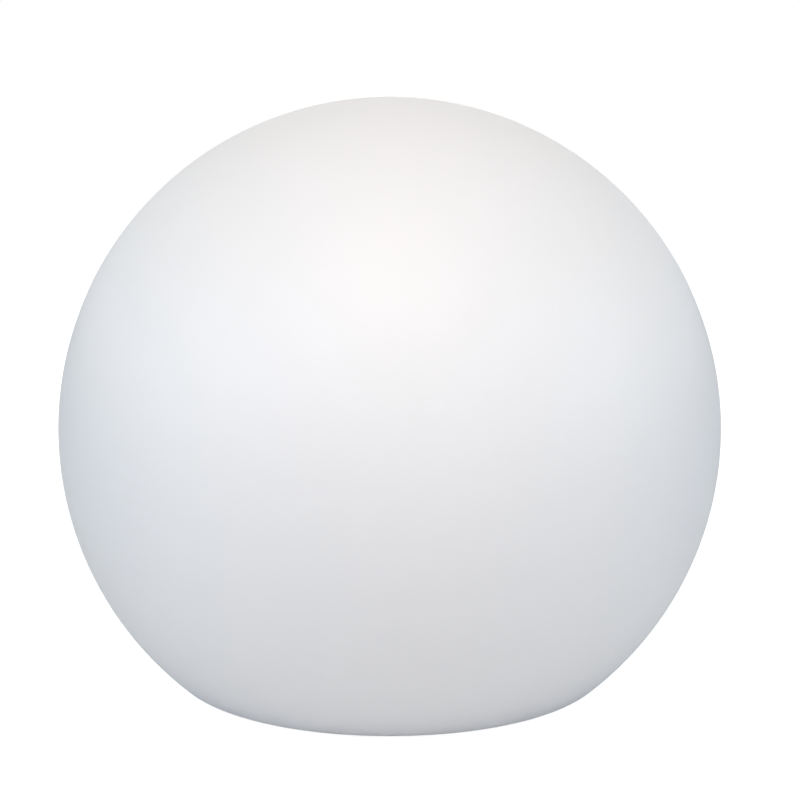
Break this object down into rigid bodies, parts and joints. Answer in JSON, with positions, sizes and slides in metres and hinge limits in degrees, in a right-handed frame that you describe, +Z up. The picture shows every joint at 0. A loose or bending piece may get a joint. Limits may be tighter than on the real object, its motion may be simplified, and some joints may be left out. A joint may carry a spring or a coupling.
{
  "type": "garden globe light",
  "caption": "Cordless garden globe light: a flat-based opal globe that screws down over a rechargeable lamp unit with a push button, charging socket and frosted dome.",
  "frame": {"origin": "on the ground, under the middle of the globe", "axes": "+Z up along the globe's axis; +X from the button towards the charging socket; the camera side is -Y"},
  "size_m": [0.4, 0.3998, 0.3565],
  "materials": {
    "opal_globe": "satin",
    "white_plastic": "satin",
    "grey_plastic": "satin",
    "black_plastic": "satin",
    "button_plastic": "satin",
    "clear_plastic": "gloss",
    "frosted_dome": "satin",
    "grey_rubber": "matte",
    "black_rubber": "matte",
    "steel": "satin",
    "nickel": "satin",
    "brass": "satin",
    "aluminium": "satin",
    "board_green": "satin",
    "board_white": "satin",
    "cell_wrap": "satin",
    "diode": "satin",
    "red_wire": "satin",
    "black_wire": "satin",
    "white_wire": "satin"
  },
  "bodies": {
    "lamp_unit": {"lamp_housing": "white_plastic", "base_cover": "grey_plastic", "cover_seal": "black_rubber", "cover_screws": "steel", "rubber_feet": "black_rubber", "foot_screws": "steel", "control_board": "board_green", "board_screws": "steel", "board_parts": "black_plastic", "board_connectors": "white_plastic", "switch_body": "black_plastic", "charge_jack": "black_plastic", "jack_pin": "nickel", "plug_anchor": "black_rubber", "light_pipe": "clear_plastic", "indicator": "diode", "battery_cells": "cell_wrap", "battery_tabs": "nickel", "battery_cradle": "black_plastic", "battery_straps": "steel", "cradle_screws": "steel", "led_leads": "white_wire", "battery_lead_red": "red_wire", "battery_lead_black": "black_wire", "heat_sink": "aluminium", "thermal_pad": "grey_rubber", "lamp_board": "board_white", "lamp_diodes": "diode", "lamp_connector": "white_plastic", "lamp_screws": "steel", "dome_seal": "grey_rubber", "diffuser_dome": "frosted_dome", "dome_ring": "white_plastic", "dome_screws": "steel"},
    "seal_ring": {"globe_seal": "grey_rubber"},
    "globe": {"globe_shell": "opal_globe", "collar_inserts": "brass", "threaded_collar": "white_plastic", "collar_gasket": "grey_rubber", "collar_screws": "steel"},
    "button": {"power_button": "button_plastic", "switch_plunger": "white_plastic"},
    "plug_cover": {"charge_plug": "black_rubber"}
  },
  "joints": [
    {"name": "globe_rise", "type": "slide", "parent": "lamp_unit", "child": "seal_ring", "axis": [0, 0, 1], "range_m": [0, 0.12]},
    {"name": "globe_turn", "type": "hinge", "parent": "seal_ring", "child": "globe", "pos_m": [0, 0, 0.02], "axis": [0, 0, 1], "range_deg": [0, 1800]},
    {"name": "button_press", "type": "slide", "parent": "lamp_unit", "child": "button", "axis": [0, 0, 1], "range_m": [0, 0.0008], "stiffness_N_per_m": 1500, "springref_m": -0.0008},
    {"name": "plug_hinge", "type": "hinge", "parent": "lamp_unit", "child": "plug_cover", "pos_m": [0.0275, 0, 0.0038], "axis": [0, -1, 0], "range_deg": [0, 100], "stiffness_Nm_per_rad": 0.002, "springref_deg": -28.65}
  ],
  "couplings": [
    {"joint": "globe_rise", "follows": "globe_turn", "m_per_rad": 0.0038197}
  ]
}
